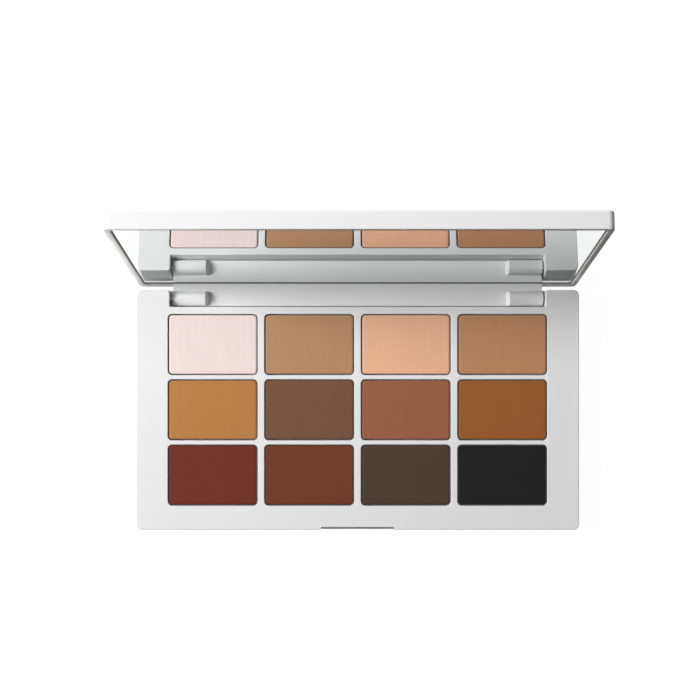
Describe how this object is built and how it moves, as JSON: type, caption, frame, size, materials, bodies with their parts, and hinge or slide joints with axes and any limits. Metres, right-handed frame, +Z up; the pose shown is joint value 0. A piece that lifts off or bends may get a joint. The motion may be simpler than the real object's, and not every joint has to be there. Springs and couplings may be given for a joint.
{
  "type": "eyeshadow palette",
  "caption": "Slim white eyeshadow palette with rectangular pans of pressed powder, a hinged mirror lid that closes flat over them, and a thumb notch in its front edge.",
  "frame": {"origin": "centre of the base's underside, midway between its side faces and between its front and back faces", "axes": "+X right along the palette's width, -Y towards the front edge with the thumb notch, +Z up from the underside to the powders"},
  "size_m": [0.145, 0.0987, 0.0802],
  "materials": {
    "white_shell": "satin moulded plastic",
    "bottom_cover": "fine moulded texture",
    "pan_metal": "drawn, satin",
    "powder_1": "matte pressed powder",
    "powder_2": "matte pressed powder",
    "powder_3": "matte pressed powder",
    "powder_4": "matte pressed powder",
    "powder_5": "matte pressed powder",
    "powder_6": "matte pressed powder",
    "powder_7": "matte pressed powder",
    "powder_8": "matte pressed powder",
    "powder_9": "matte pressed powder",
    "powder_10": "matte pressed powder",
    "powder_11": "matte pressed powder",
    "powder_12": "matte pressed powder",
    "adhesive": "matte",
    "magnet": "nickel plate",
    "pin_steel": "ground",
    "mirror_glass": "polished"
  },
  "bodies": {
    "base": {"base_deck": "white_shell", "base_bottom": "bottom_cover", "pan_1": "pan_metal", "pan_2": "pan_metal", "pan_3": "pan_metal", "pan_4": "pan_metal", "pan_5": "pan_metal", "pan_6": "pan_metal", "pan_7": "pan_metal", "pan_8": "pan_metal", "pan_9": "pan_metal", "pan_10": "pan_metal", "pan_11": "pan_metal", "pan_12": "pan_metal", "powder_1": "powder_1", "powder_2": "powder_2", "powder_3": "powder_3", "powder_4": "powder_4", "powder_5": "powder_5", "powder_6": "powder_6", "powder_7": "powder_7", "powder_8": "powder_8", "powder_9": "powder_9", "powder_10": "powder_10", "powder_11": "powder_11", "powder_12": "powder_12", "pan_adhesive": "adhesive", "base_magnet_left": "magnet", "base_magnet_right": "magnet", "hinge_pin_left": "pin_steel", "hinge_pin_right": "pin_steel"},
    "lid": {"lid_shell": "white_shell", "mirror": "mirror_glass", "mirror_adhesive": "adhesive", "lid_magnet_left": "magnet", "lid_magnet_right": "magnet"}
  },
  "joints": [
    {"name": "lid_hinge", "type": "hinge", "parent": "base", "child": "lid", "pos_m": [0, 0.03655, 0.0062], "axis": [1, 0, 0], "range_deg": [0, 99.6]}
  ]
}
